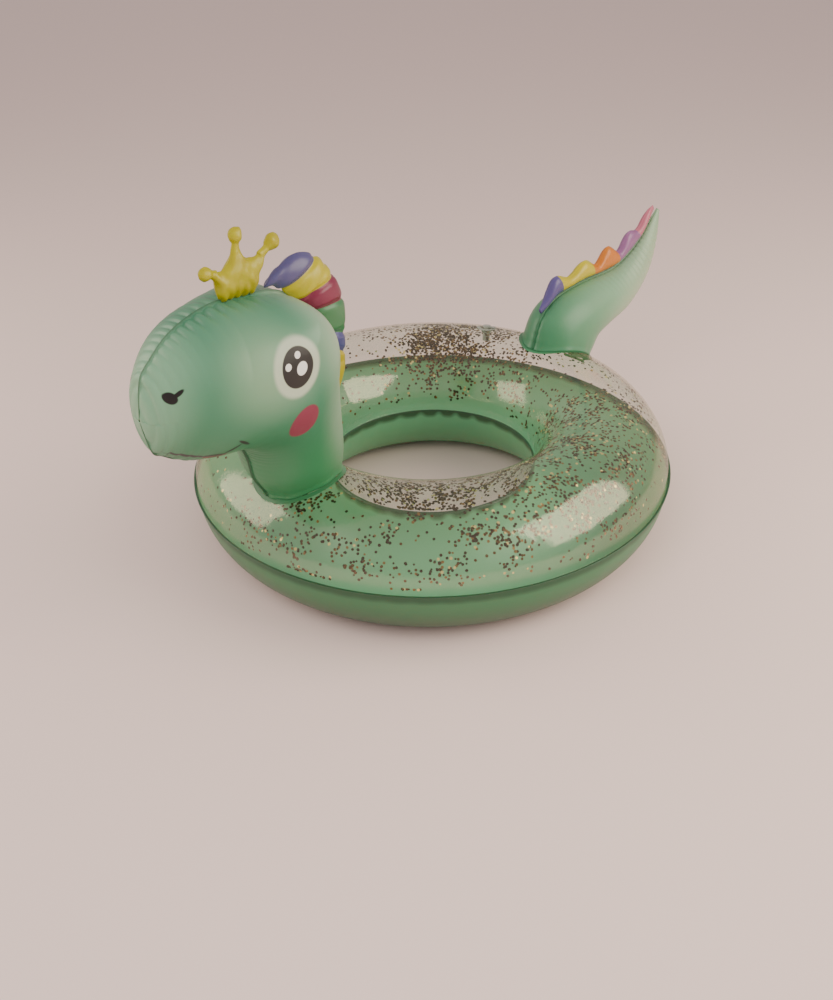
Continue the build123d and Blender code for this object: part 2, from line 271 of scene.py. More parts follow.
def painted_seam_shade(tree, colour, ink_and_painted_shade):
    """Paints shade into the colour in the crease beside the weld, which is at both ends of the second UV
    coordinate.
    """
    off = add(tree, "ShaderNodeMath", {0: length_map(tree)[1], 1: 0.5}, operation="SUBTRACT")
    reach = add(tree, "ShaderNodeMath", {0: off.outputs[0]}, operation="ABSOLUTE")
    share = add(tree, "ShaderNodeMapRange", {
        "Value": reach.outputs[0], "From Min": 0.491, "From Max": 0.499, "To Max": 0.6},
        interpolation_type="SMOOTHSTEP")
    return mixed(tree, share.outputs[0], colour, ink_and_painted_shade)


def printed_mint_head():
    """Soft PVC film, gravure printed with the face on mint that darkens towards the jaw and neck; the paler
    back of the head and muzzle tip are painted rim light.
    """
    material, tree, output = new_material("printed mint PVC, head")
    place = add(tree, "ShaderNodeTexCoord").outputs["Object"]
    depth = gradient(tree, place, (0, -330, 395), (0, -375, 262))
    colour = mixed(tree, depth, linear("#478567"), linear("#357a53"))
    # Painted rim light: the back of the head turns paler.
    painted_rim_light_back = gradient(tree, place, (0, -282, 330), (0, -222, 340))
    colour = mixed(tree, painted_rim_light_back, colour, linear("#9db79b"))
    # Painted rim light: the muzzle tip turns paler.
    painted_rim_light_muzzle = gradient(tree, place, (0, -405, 350), (0, -455, 368))
    colour = mixed(tree, painted_rim_light_muzzle, colour, linear("#7fae8c"))
    neck = gradient(tree, place, (0, -262, 292), (0, -280, 185))
    share = add(tree, "ShaderNodeMath", {0: neck, 1: 0.8}, operation="MULTIPLY").outputs[0]
    colour = mixed(tree, share, colour, linear("#32804f"))
    glow = ellipse_mask(tree, place, (-338, 380), (46, 42), 0, 0.8)
    soft_glow = add(tree, "ShaderNodeMath", {0: glow, 1: 0.55}, operation="MULTIPLY").outputs[0]
    colour = mixed(tree, soft_glow, colour, linear("#97b591"))
    halo = ellipse_mask(tree, place, (-307, 376), (34.5, 29), 66, 0.10)
    colour = mixed(tree, halo, colour, linear("#b9c6ae"))
    cheek = ellipse_mask(tree, place, (-299, 304.5), (22.5, 18.5), 68, 0.05)
    colour = mixed(tree, cheek, colour, linear("#8a2f4b"))
    tongue = ellipse_mask(tree, place, (-396, 283), (13, 4.4), -6, 0.12)
    colour = mixed(tree, tongue, colour, linear("#6d3a38"))
    # Black print ink for the face marks.
    ink_and_painted_shade = linear("#11100f")
    # The eye, the nostril with its tail, and the smile from chin to corner.
    marks = (
        ((-306.5, 376.5), (23.8, 19.6), 70, 0.03), ((-439.5, 370), (5.6, 6.6), 0, 0.10),
        ((-432.5, 374.5), (7.2, 1.9), 42, 0.2), ((-425, 292), (19, 2.1), -17, 0.25),
        ((-399, 286), (13, 2.1), -8, 0.25), ((-382, 291.5), (10, 2.0), 45, 0.25),
        ((-371.5, 299.5), (10, 1.9), -38, 0.25),
    )
    for centre, radii, angle, soft in marks:
        colour = mixed(tree, ellipse_mask(tree, place, centre, radii, angle, soft), colour, ink_and_painted_shade)
    glints = (((-301.8, 374.5), (8.2, 6.4)), ((-318.2, 380), (4.4, 3.7)), ((-304, 390.5), (4.2, 3.4)))
    for centre, radii in glints:
        colour = mixed(tree, ellipse_mask(tree, place, centre, radii, 60, 0.06), colour, linear("#f4f4ec"))
    # The crease beside the seam gets painted shade.
    film_surface(tree, output, painted_seam_shade(tree, colour, linear("#23452f")), place)
    return material


def printed_mint_tail():
    """Soft PVC film, gravure printed: mint at the root fading to a pale sage towards the tip, with painted
    light that makes it paler below towards the back.
    """
    material, tree, output = new_material("printed mint PVC, tail")
    place = add(tree, "ShaderNodeTexCoord").outputs["Object"]
    fade = gradient(tree, place, (0, 225, 175), (0, 400, 262))
    colour = mixed(tree, fade, linear("#3c805a"), linear("#7fa886"))
    # Painted light: paler below towards the back.
    under = gradient(tree, place, (0, 350, 232), (0, 405, 160))
    colour = mixed(tree, under, colour, linear("#a8b79a"))
    # The crease beside the seam gets painted shade.
    film_surface(tree, output, painted_seam_shade(tree, colour, linear("#305a40")), place)
    return material


def weld_margin(tree, place):
    """1 on the ring's two flat weld margins, and 0 on the inflated tube."""
    off = add(tree, "ShaderNodeMath", {0: from_axis(tree, place), 1: RING_R}, operation="SUBTRACT")
    reach = add(tree, "ShaderNodeMath", {0: off.outputs[0]}, operation="ABSOLUTE")
    return add(tree, "ShaderNodeMapRange", {
        "Value": reach.outputs[0], "From Min": TUBE_R - 1.2 * MM, "From Max": TUBE_R - 0.4 * MM,
    }).outputs[0]


def mint_with_painted_light_and_shade(name="mint PVC film", top="#2f7048", low="#07381b", wall="#52a074"):
    """Soft PVC film dyed through mint, with painted shade that deepens it towards the floor on the tube's
    outer side, painted light that pales it round the opening, and a darker weld margin.
    """
    material, tree, output = new_material(name)
    place = add(tree, "ShaderNodeTexCoord").outputs["Object"]
    cloud = add(tree, "ShaderNodeTexNoise", {"Vector": place, "Scale": 6.0, "Detail": 2.0})
    share = add(tree, "ShaderNodeMath", {0: cloud.outputs[0], 1: 0.12}, operation="MULTIPLY")
    radius = from_axis(tree, place)
    # Painted shade: darker towards the floor, on the tube's outer side.
    height = gradient(tree, place, (0, 0, 80), (0, 0, 16))
    outer = add(tree, "ShaderNodeMapRange", {
        "Value": radius, "From Min": RING_R - 20 * MM, "From Max": RING_R + 30 * MM})
    deep = add(tree, "ShaderNodeMath", {0: height, 1: outer.outputs[0]}, operation="MULTIPLY")
    colour = mixed(tree, deep.outputs[0], linear(top), linear(low))
    # Painted light: paler on the wall round the opening.
    inner = add(tree, "ShaderNodeMapRange", {
        "Value": radius, "From Min": RING_R, "From Max": RING_R - 50 * MM})
    colour = mixed(tree, inner.outputs[0], colour, linear(wall))
    colour = mixed(tree, share.outputs[0], colour, linear("#6fae80"))
    colour = mixed(tree, weld_margin(tree, place), colour, linear("#1d5234"))
    film_surface(tree, output, colour, place, 0.42, 0.1)
    return material


def clear_film():
    """Colourless soft PVC: seen through face on, whiter at a glancing angle, with sharp highlights."""
    material, tree, output = new_material("clear PVC film")
    place = add(tree, "ShaderNodeTexCoord").outputs["Object"]
    slack = add(tree, "ShaderNodeTexNoise", {"Vector": place, "Scale": 26.0, "Detail": 3.0})
    bump = add(tree, "ShaderNodeBump", {
        "Height": slack.outputs[0], "Strength": 0.4, "Distance": 2.2 * MM})
    tint = tuple(settings("ring").clear_tint) + (1.0,)
    through = add(tree, "ShaderNodeBsdfTransparent", {"Color": tint})
    film = add(tree, "ShaderNodeBsdfPrincipled", {
        "Base Color": linear("#f3ecd6"), "Metallic": 1.0, "Roughness": 0.13, "Normal": bump.outputs[0]})
    facing = add(tree, "ShaderNodeLayerWeight", {"Blend": 0.5, "Normal": bump.outputs[0]})
    steep = add(tree, "ShaderNodeMath", {0: facing.outputs["Facing"], 1: 4.0}, operation="POWER")
    share = add(tree, "ShaderNodeMapRange", {"Value": steep.outputs[0], "To Min": 0.07, "To Max": 0.42})
    welded = add(tree, "ShaderNodeMapRange", {
        "Value": weld_margin(tree, place), "To Min": 1.0, "To Max": 0.15})
    share = add(tree, "ShaderNodeMath", {0: share.outputs[0], 1: welded.outputs[0]}, operation="MULTIPLY")
    blend = add(tree, "ShaderNodeMixShader", {0: share.outputs[0], 1: through.outputs[0], 2: film.outputs[0]})
    tree.links.new(blend.outputs[0], output.inputs["Surface"])
    return material


def metallised_flake():
    """Metallised PET confetti: dark bronze and gold flakes, each with its own tone."""
    material, tree, output = new_material("metallised confetti")
    tone = add(tree, "ShaderNodeAttribute", attribute_name="tone").outputs["Fac"]
    ramp = add(tree, "ShaderNodeValToRGB", {0: tone})
    ramp.color_ramp.interpolation = "CONSTANT"
    ramp.color_ramp.elements[0].color = linear("#2a1a0d")
    ramp.color_ramp.elements[1].position = 0.55
    ramp.color_ramp.elements[1].color = linear("#5a3c1a")
    gold = ramp.color_ramp.elements.new(0.8)
    gold.color = linear("#86673a")
    pale = ramp.color_ramp.elements.new(0.91)
    pale.color = linear("#e8d48c")
    shader = add(tree, "ShaderNodeBsdfPrincipled", {
        "Base Color": ramp.outputs[0], "Metallic": 0.55, "Roughness": 0.4})
    tree.links.new(shader.outputs[0], output.inputs["Surface"])
    return material


def banded(name, bands, lean, roughness=0.36):
    """Soft PVC film printed with bands across its length; bands are (start, colour), leaning by lean."""
    material, tree, output = new_material(name)
    place = add(tree, "ShaderNodeTexCoord").outputs["Object"]
    along, across = length_map(tree)[:2]
    skew = add(tree, "ShaderNodeMath", {0: across, 1: lean, 2: along}, operation="MULTIPLY_ADD")
    ramp = add(tree, "ShaderNodeValToRGB", {0: skew.outputs[0]})
    ramp.color_ramp.interpolation = "CONSTANT"
    points = ramp.color_ramp.elements
    points[0].color = linear(bands[0][1])
    points[1].position = bands[1][0]
    points[1].color = linear(bands[1][1])
    for start, colour in bands[2:]:
        points.new(start).color = linear(colour)
    shade = add(tree, "ShaderNodeTexNoise", {"Vector": place, "Scale": 22.0, "Detail": 3.0})
    share = add(tree, "ShaderNodeMapRange", {"Value": shade.outputs[0], "To Min": 0.0, "To Max": 0.28})
    colour = mixed(tree, share.outputs[0], ramp.outputs[0], linear("#3a3228"))
    film_surface(tree, output, colour, place, roughness, 0.18)
    return material


def yellow_film():
    """Soft PVC film printed lemon yellow, with darker ochre patches laid by noise as painted shade for its
    folds.
    """
    material, tree, output = new_material("yellow PVC film")
    place = add(tree, "ShaderNodeTexCoord").outputs["Object"]
    # Painted shade: ochre patches laid by noise.
    shade = add(tree, "ShaderNodeTexNoise", {"Vector": place, "Scale": 45.0, "Detail": 4.0})
    share = add(tree, "ShaderNodeMapRange", {"Value": shade.outputs[0], "From Min": 0.4, "To Max": 0.6})
    colour = mixed(tree, share.outputs[0], linear("#aaa400"), linear("#857000"))
    film_surface(tree, output, colour, place, 0.38, 0.15)
    return material


def milky_vinyl():
    """Injection-moulded soft clear PVC: milky, glossy, a little see-through."""
    material, tree, output = new_material("moulded clear vinyl")
    place = add(tree, "ShaderNodeTexCoord").outputs["Object"]
    cloud = add(tree, "ShaderNodeTexNoise", {"Vector": place, "Scale": 160.0, "Detail": 2.0})
    colour = mixed(tree, cloud.outputs[0], linear("#b9c0b6"), linear("#d3d8cd"))
    bump = add(tree, "ShaderNodeBump", {"Height": cloud.outputs[0], "Strength": 0.15, "Distance": 0.4 * MM})
    shader = add(tree, "ShaderNodeBsdfPrincipled", {
        "Base Color": colour, "Roughness": 0.2, "IOR": 1.5, "Coat Weight": 0.6,
        "Transmission Weight": 0.35, "Normal": bump.outputs[0]})
    tree.links.new(shader.outputs[0], output.inputs["Surface"])
    return material


# ------------------------------------------------------------------ surfaces
def dense(stations, count=1600):
    """A natural cubic spline through the stations, as a table of count rows, in metres.

    The second derivatives m solve h[i-1] m[i-1] + 2 (h[i-1] + h[i]) m[i] + h[i] m[i+1]
    = 6 (slope[i] - slope[i-1]), with m zero at both ends.
    """
    rows = stations * MM
    middles = (rows[:, :2] + rows[:, 2:4]) / 2
    steps = np.hypot(*np.diff(middles, axis=0).T) + 0.25 * np.abs(np.diff(rows[:, 4]))
    knots = np.concatenate([[0], np.cumsum(steps)])
    h = np.diff(knots)
    slope = np.diff(rows, axis=0) / h[:, None]
    n = len(knots)
    system = np.eye(n)
    known = np.zeros((n, 5))
    inner = np.arange(1, n - 1)
    system[inner, inner - 1] = h[:-1]
    system[inner, inner] = 2 * (h[:-1] + h[1:])
    system[inner, inner + 1] = h[1:]
    known[1:-1] = 6 * np.diff(slope, axis=0)
    bend = np.linalg.solve(system, known)
    s = np.linspace(0, knots[-1], count)
    k = np.clip(np.searchsorted(knots, s, side="right") - 1, 0, n - 2)
    a = ((knots[k + 1] - s) / h[k])[:, None]
    b = 1 - a
    curve = (a ** 3 - a) * bend[k] + (b ** 3 - b) * bend[k + 1]
    return a * rows[k] + b * rows[k + 1] + curve * (h[k] ** 2 / 6)[:, None]


def look_up(table, s):
    """The table's rows at s from 0 to 1, for an array s of any shape."""
    at = np.linspace(0, 1, len(table))
    return np.stack([np.interp(s, at, table[:, k]) for k in range(5)], axis=-1)


def chord_points(rows, t, push=0.0, full=1.0):
    """A point of each section: middle - along cos t + half width sin t, pushed outward by push.

    Where cos t is negative, both sine and cosine are raised to the power full, which squares the section.
    """
    middle = (rows[..., :2] + rows[..., 2:4]) / 2
    along = (rows[..., 2:4] - rows[..., :2]) / 2
    reach = np.maximum(np.linalg.norm(along, axis=-1), 1e-6)
    unit = along / reach[..., None]
    power = np.where(np.cos(t) < 0, full, 1.0)
    side = (rows[..., 4] + push) * np.abs(np.sin(t)) ** power * np.sign(np.sin(t))
    out = -(reach + push) * np.abs(np.cos(t)) ** power * np.sign(np.cos(t))
    return np.stack([side, middle[..., 0] + unit[..., 0] * out, middle[..., 1] + unit[..., 1] * out], axis=-1)


def above_ring(points, lift):
    """Distance of points from the ring's skin, less lift: positive outside."""
    round_the_hole = np.hypot(points[..., 0], points[..., 1]) - RING_R
    return np.hypot(round_the_hole, points[..., 2] - EQUATOR) - TUBE_R - lift


def outward(points):
    """Unit normals of a grid of points, pointing away from the middle of each section."""
    across = np.gradient(points, axis=1)
    normal = np.cross(np.gradient(points, axis=0), across)
    normal /= np.maximum(np.linalg.norm(normal, axis=-1, keepdims=True), 1e-12)
    away = points - points.mean(axis=1, keepdims=True)
    facing = np.sign(np.sum(normal * away, axis=(0, 1)).sum())
    return normal * facing


def ripple(s, count, seed):
    """Uneven folds along a seam: a cosine whose phase wanders, sharpened so that crests are narrow."""
    wander = 1.3 * np.sin(2.1 * s * math.pi + seed) + 0.9 * np.sin(5.3 * s * math.pi + 2 * seed)
    wander = wander + 0.5 * np.sin(11.7 * s * math.pi + 3 * seed)
    strength = 0.65 + 0.35 * np.sin(7.1 * s * math.pi + 1.7 * seed)
    return (0.5 + 0.5 * np.cos(2 * math.pi * count * s + 1.4 * wander)) ** 2 * strength


def new_piece(name, points, faces, material):
    """An object in the scene from lists of points and faces, with its material."""
    mesh = bpy.data.meshes.new(name)
    mesh.from_pydata(points, [], faces)
    mesh.materials.append(material)
    piece = bpy.data.objects.new(name, mesh)
    bpy.context.scene.collection.objects.link(piece)
    return piece


def smooth_shaded(mesh):
    """Shades every face of a mesh smooth."""
    mesh.polygons.foreach_set("use_smooth", np.ones(len(mesh.polygons), bool))


def quads(index, closed):
    """Four-cornered faces between neighbours of a grid of vertex numbers; closed joins its last column
    to its first."""
    right = np.roll(index, -1, axis=1) if closed else index[:, 1:]
    left = index if closed else index[:, :-1]
    return np.stack([left[:-1], right[:-1], right[1:], left[1:]], axis=-1).reshape(-1, 4).tolist()


def grid_piece(name, points, uv, material, closed=False, solid=0.0):
    """A film from an array of points (rows, columns, 3), with its thickness, solid."""
    n, m = points.shape[:2]
    faces = quads(np.arange(n * m).reshape(n, m), closed)
    piece = new_piece(name, points.reshape(-1, 3).tolist(), faces, material)
    mesh = piece.data
    smooth_shaded(mesh)
    layer = mesh.uv_layers.new(name="length")
    corner = np.empty(len(mesh.loops), np.int32)
    mesh.loops.foreach_get("vertex_index", corner)
    layer.data.foreach_set("uv", uv.reshape(-1, 2)[corner].astype(np.float32).ravel())
    if solid:
        wall = piece.modifiers.new("film", "SOLIDIFY")
        wall.thickness = solid
        wall.offset = -1.0
    return piece


def flipped(piece):
    """Turns every face of a piece the other way."""
    piece.data.flip_normals()
    return piece


# ------------------------------------------------------------------ ring
def ring_profile(side, count):
    """The half tube with its flat margins: r and z from the inner margin to the outer one."""
    phi = np.linspace(math.pi, 0, count)
    r = RING_R + TUBE_R * np.cos(phi)
    z = EQUATOR + side * TUBE_R * np.sin(phi)
    tab = np.linspace(MARGIN, 0, 3)[:-1]
    flat = np.full(len(tab), EQUATOR)
    r = np.concatenate([r[0] - tab, r, r[-1] + tab[::-1]])
    z = np.concatenate([flat, z, flat])
    phi = np.concatenate([np.full(len(tab), math.pi), phi, np.zeros(len(tab))])
    return r, z, phi


def foot_pull(bearing, phi, centre_y, reach):
    """How far the skin is drawn in round a welded foot, 0 to 1, with creases that spread from the weld."""
    r = RING_R + TUBE_R * np.cos(phi)
    dx = r * np.cos(bearing)
    dy = r * np.sin(bearing) - centre_y
    away = np.maximum(np.hypot(dx, dy) - reach, 0)
    turn = np.arctan2(dy, dx)
    crease = 0.5 + 0.5 * np.cos(9 * turn + 1.2 * np.sin(3 * turn))
    return np.exp(-away / (16 * MM)) * (0.3 + crease * 0.7)


def ring_sheet(name, side, material):
    """Half of the ring's skin: a torus whose tube radius shrinks into folds along both seams."""
    r, z, phi = ring_profile(side, 66)
    bearing = np.linspace(0, 2 * math.pi, 520, endpoint=False)
    p, b = np.meshgrid(phi, bearing, indexing="ij")
    s = b / (2 * math.pi)
    inner = (math.pi - p) * TUBE_R
    outer = p * TUBE_R
    folds = np.exp(-inner / INNER_FOLD_REACH) * ripple(s, 30, 1.0 + side) * settings("ring").seam_fold
    folds += np.exp(-outer / OUTER_FOLD_REACH) * ripple(s, 64, 2.0 + side) * 0.6 * MM
    sink = folds * np.sin(p) ** 0.35
    if side > 0:
        sink += sum(deep * foot_pull(b, p, centre, reach) for centre, reach, deep in FEET)
    tube = r[:, None] - sink * np.cos(p)
    height = z[:, None] - side * sink * np.sin(p)
    points = np.stack([tube * np.cos(b), tube * np.sin(b), height], axis=-1)
    points[..., 2] += side * 0.05 * MM          # keeps the two margins' faces apart
    uv = np.stack([s, p / math.pi], axis=-1)
    piece = grid_piece(name, points, uv, material, closed=True, solid=FILM)
    return piece if side < 0 else flipped(piece)


def flake_places(count):
    """Bearings and tube angles of the flakes: drifts where they gather, and a thin scatter between."""
    rng = np.random.default_rng(7)
    drifts = (
        # bearing, spread, tube angle, spread (all degrees from +X and from the outer seam), share
        (118, 14, 66, 22, 0.10), (131, 11, 108, 24, 0.17), (104, 16, 128, 18, 0.06),
        (-45, 30, 156, 12, 0.13), (20, 22, 120, 24, 0.13), (40, 20, 60, 22, 0.06),
        (-10, 18, 60, 20, 0.09), (-50, 24, 32, 14, 0.04), (-82, 10, 58, 24, 0.05),
    )
    bearing, around = [], []
    for b, b_spread, p, p_spread, share in drifts:
        n = int(count * share)
        clump = rng.integers(0, max(n // 10, 1), n)
        bearing.append(rng.normal(b, b_spread, n)[clump] + rng.normal(0, 1.9, n))
        around.append(rng.normal(p, p_spread, n)[clump] + rng.normal(0, 4.5, n))
    rest = count - sum(len(x) for x in bearing)
    bearing.append(rng.uniform(-180, 180, rest))
    around.append(rng.uniform(8, 172, rest))
    bearing = np.radians(np.concatenate(bearing))
    around = np.radians(np.clip(np.concatenate(around), 5, 175))
    return bearing, around, rng


def confetti(material):
    """Flat hexagonal flakes lying on the inside of the clear film, each turned its own way."""
    ring = settings("ring")
    bearing, around, rng = flake_places(ring.flakes)
    n = len(bearing)
    lie = TUBE_R - FILM - rng.uniform(1.9, 3.4, n) * MM
    out = np.stack([np.cos(bearing), np.sin(bearing), np.zeros(n)], axis=-1)
    up = np.array([0, 0, 1.0])
    normal = out * np.cos(around)[:, None] + up * np.sin(around)[:, None]
    centre = out * RING_R + up * EQUATOR + normal * lie[:, None]
    along = np.stack([-np.sin(bearing), np.cos(bearing), np.zeros(n)], axis=-1)
    across = np.cross(normal, along)
    tilt = rng.normal(0, 0.14, (n, 2))
    along = along + normal * tilt[:, :1]
    across = across + normal * tilt[:, 1:]
    turn = rng.uniform(0, math.pi / 3, n)[:, None] + np.arange(6) * math.pi / 3
    size = ring.flake_size / 2 * rng.choice([0.75, 1.0, 1.1], n, p=[0.25, 0.5, 0.25])[:, None, None]
    corners = centre[:, None] + size * (
        np.cos(turn)[..., None] * along[:, None] + np.sin(turn)[..., None] * across[:, None])
    hexagons = np.arange(6 * n).reshape(n, 6).tolist()
    piece = new_piece("confetti_flakes", corners.reshape(-1, 3).tolist(), hexagons, material)
    tone = piece.data.attributes.new("tone", "FLOAT", "POINT")
    tone.data.foreach_set("value", np.repeat(rng.uniform(0, 1, n), 6).astype(np.float32))
    wall = piece.modifiers.new("flake", "SOLIDIFY")
    wall.thickness = 0.1 * MM
    return piece


# ------------------------------------------------------------------ head and tail
def panel(name, stations, side, material, folds, rows=320, columns=128, fullness=ELLIPSE):
    """One inflated panel from the seam over the side to the other seam, with its flat weld margins.

    The section is an ellipse whose ends sink by the seam groove. Its skin is gathered into pleats, each
    deepest at PLEAT_REACH from the seam as d exp(1 - d), with d the distance over PLEAT_REACH; folds is
    (number along the length, depth share, seed). Each column starts where it leaves the ring's skin.
    """
    body = settings("body")
    table = dense(stations)
    t = np.linspace(0, math.pi, columns)
    squareness = np.array(fullness, float).T
    trial = np.linspace(0, 0.35, 900)
    s, tt = np.meshgrid(trial, t, indexing="ij")
    whole = chord_points(look_up(table, s), tt, 0.0, np.interp(s, *squareness))
    outside = above_ring(whole, WELD_LIFT) > 0
    last_inside = len(trial) - 1 - np.argmax(~outside[::-1], axis=0)
    start = trial[np.minimum(last_inside + 1, len(trial) - 1)]
    u = np.linspace(0, 1, rows)
    u = u + 0.06 * np.sin(2 * math.pi * u) / (2 * math.pi)
    s = start[None, :] + (1 - start[None, :]) * u[:, None]
    tt = np.repeat(t[None, :], rows, axis=0)
    section = look_up(table, s)
    points = chord_points(section, tt, 0.0, np.interp(s, *squareness))
    from_seam = points[..., 0]
    count, share, seed = folds
    crest = ripple(s, count, np.where(tt < math.pi / 2, seed, seed + 1.9))
    wide = np.clip(section[..., 4] / (20 * MM), 0, 1)
    neck = np.interp(s, (0.2, 0.45, 0.6), (0.1, 0.35, 1.0))
    near = from_seam / PLEAT_REACH
    pleat = -body.pleat_depth * share * neck * wide * crest * near * np.exp(1 - near)
    groove = -body.groove * wide * (0.4 + 0.6 * crest) * np.exp(-(from_seam / GROOVE_REACH) ** 1.2)
    height = s - start[None, :]
    gathers = 0.5 + 0.5 * np.cos(11 * tt + 2.2 * np.sin(2.3 * tt + seed))
    push = pleat + groove - 1.5 * MM * gathers * np.exp(-height / 0.045)
    push = push + 1.5 * MM * np.exp(-(height / 0.012) ** 2)
    points = points + outward(points) * push[..., None]
    edge = section[:, [0, -1]]
    chord = edge[..., 2:4] - edge[..., :2]
    unit = chord / np.maximum(np.linalg.norm(chord, axis=-1, keepdims=True), 1e-6)
    tab = np.zeros((rows, 2, 3))
    reach = MARGIN - 0.6 * MM
    tab[:, 0, 1:] = edge[:, 0, :2] - unit[:, 0] * reach
    tab[:, 1, 1:] = edge[:, 1, 2:4] + unit[:, 1] * reach
    low = above_ring(tab, 0) < 0
    tab[low] = points[:, [0, -1]][low]
    points = np.concatenate([tab[:, :1], points, tab[:, 1:]], axis=1)
    points[..., 0] = np.maximum(points[..., 0], 0.04 * MM)
    points[..., 0] *= side
    uv = np.stack(np.broadcast_arrays(u[:, None], np.linspace(0, 1, columns + 2)[None, :]), axis=-1)
    piece = grid_piece(name, points, uv, material, solid=FILM)
    return piece if side < 0 else flipped(piece)


def end_point(ring):
    """A ring of points drawn in to its middle, as many times over."""
    return np.repeat(ring.mean(axis=1, keepdims=True), ring.shape[1], axis=1)


def crest_tube(name, stations, material, folds, creases=(), lean=0.0, rows=300, around=80):
    """A small inflated crest, closed at both ends, with a pinched seam along its outer edge.

    Its section is an ellipse drawn in at the seams. Uneven folds (number, depth in mm, seed) cross it, and
    a crease crosses it at each share of its length in creases, leaning as the printed bands do.
    """
    table = dense(stations)
    u = np.linspace(0, 1, rows)
    t = np.linspace(0, 2 * math.pi, around, endpoint=False)
    s, tt = np.meshgrid(u, t, indexing="ij")
    section = look_up(table, s)
    count, depth, seed = folds
    seam = np.exp(-((tt - math.pi) / 0.10) ** 2)
    foot = np.exp(-(np.minimum(tt, 2 * math.pi - tt) / 0.25) ** 2)
    crumple = ripple(s, count, seed + 0.6 * np.sin(tt)) * (0.35 + 0.65 * np.abs(np.cos(tt / 2 + 0.5)))
    push = -depth * MM * crumple + 1.2 * MM * seam + 0.6 * MM * foot
    along = s + lean * (0.5 - 0.5 * np.cos(tt))
    for crease in creases:
        push = push - 3.0 * MM * np.exp(-((along - crease) / 0.016) ** 2)
    push = push * np.clip(section[..., 4] / (8 * MM), 0, 1)
    points = chord_points(section, tt, push)
    poles = [end_point(points[:1]), end_point(points[-1:])]
    points = np.concatenate([poles[0], points, poles[1]])
    u = np.concatenate([[0], u, [1]])
    uv = np.stack(np.broadcast_arrays(u[:, None], (np.cos(t) * -0.5 + 0.5)[None, :]), axis=-1)
    piece = grid_piece(name, points, uv, material, closed=True)
    merge = piece.modifiers.new("poles", "WELD")
    merge.merge_threshold = 0.02 * MM
    return flipped(piece)


# ------------------------------------------------------------------ crown
def lathe(radii, heights, base, axis, squash, turns=28):
    """A closed round form about an axis from a base point, flattened across the sagittal plane."""
    axis = Vector(axis).normalized()
    side = Vector((1, 0, 0))
    other = axis.cross(side)
    turn = np.linspace(0, 2 * math.pi, turns, endpoint=False)
    radii = np.asarray(radii)[:, None]
    heights = np.asarray(heights)[:, None]
    wide = radii * np.sin(turn)
    flat = radii * np.cos(turn) * squash
    parts = [flat * side[k] + wide * other[k] + heights * axis[k] + base[k] for k in range(3)]
    return np.stack(parts, axis=-1)


def closed_rows(rows):
    """A grid of rings with each end drawn in almost to one point, so that a small face can close it."""
    first, last = rows[:1], rows[-1:]
    return np.concatenate([
        end_point(first) * 0.999 + first * 0.001, rows, end_point(last) * 0.999 + last * 0.001])


def crown_forms():
    """The crown's pouch and its three necked points with ball ends, as closed grids that overlap.

    A point's radius is log(exp(k drop) + exp(k stalk)) / k, which rounds the joint of ball and neck.
    """
    table = dense(CROWN, 400)
    t = np.linspace(0, 2 * math.pi, 40, endpoint=False)
    s, tt = np.meshgrid(np.linspace(0, 1, 90), t, indexing="ij")
    forms = [closed_rows(chord_points(look_up(table, s), tt))]
    k = 3.0
    for y, z, ball_y, ball_z, neck, ball in CROWN_POINTS:
        root = np.array([0, y, z]) * MM
        axis = np.array([0, ball_y, ball_z]) * MM - root
        length = np.linalg.norm(axis) / MM
        x = np.linspace(-1.5, length + ball * BALL_LENGTH, 44)
        drop = ball * np.sqrt(np.clip(1 - ((x - length) / (ball * BALL_LENGTH)) ** 2, 0, 1))
        stalk = (neck + 0.7 * neck * np.exp(-np.maximum(x, 0) / (0.35 * length))) * (x < length)
        radius = np.log(np.exp(drop * k) + np.exp(stalk * k)) / k
        radius = np.where(x < length, radius, np.maximum(drop, 0.05))
        forms.append(closed_rows(lathe(radius * MM, x * MM, root, axis, 0.8)))
    return forms


def fused(piece):
    """Remeshes a piece's overlapping forms into one smoothed skin, and gives back its new mesh."""
    fuse = piece.modifiers.new("fuse", "REMESH")
    fuse.mode = "VOXEL"
    fuse.voxel_size = CROWN_VOXEL
    smooth = piece.modifiers.new("smooth", "SMOOTH")
    smooth.factor = 0.6
    smooth.iterations = 18
    skin = bpy.data.meshes.new_from_object(piece.evaluated_get(bpy.context.evaluated_depsgraph_get()))
    piece.modifiers.clear()
    piece.data = skin
    return skin


def crown_crumple(co):
    """Outward displacement in mm: folds gathered at the foot, soft crumples above, and the seam's ridge."""
    y, z = co[:, 1] / MM, co[:, 2] / MM
    side = np.sign(co[:, 0])
    low = np.exp(-np.maximum(z - CROWN_FOOT, 0) / 9)
    folds = np.sin(0.62 * y + 1.6 * np.sin(0.11 * z) + side) * low * 1.3
    folds = folds + 0.45 * np.sin(0.21 * y + 0.33 * z + 1.3 * np.sin(0.17 * y) + 0.8 * side)
    folds = folds + 0.3 * np.sin(0.47 * y - 0.25 * z + 1.1 * side)
    ridge = np.exp(-(co[:, 0] / (0.8 * MM)) ** 2)
    return 0.85 * folds + 0.9 * ridge


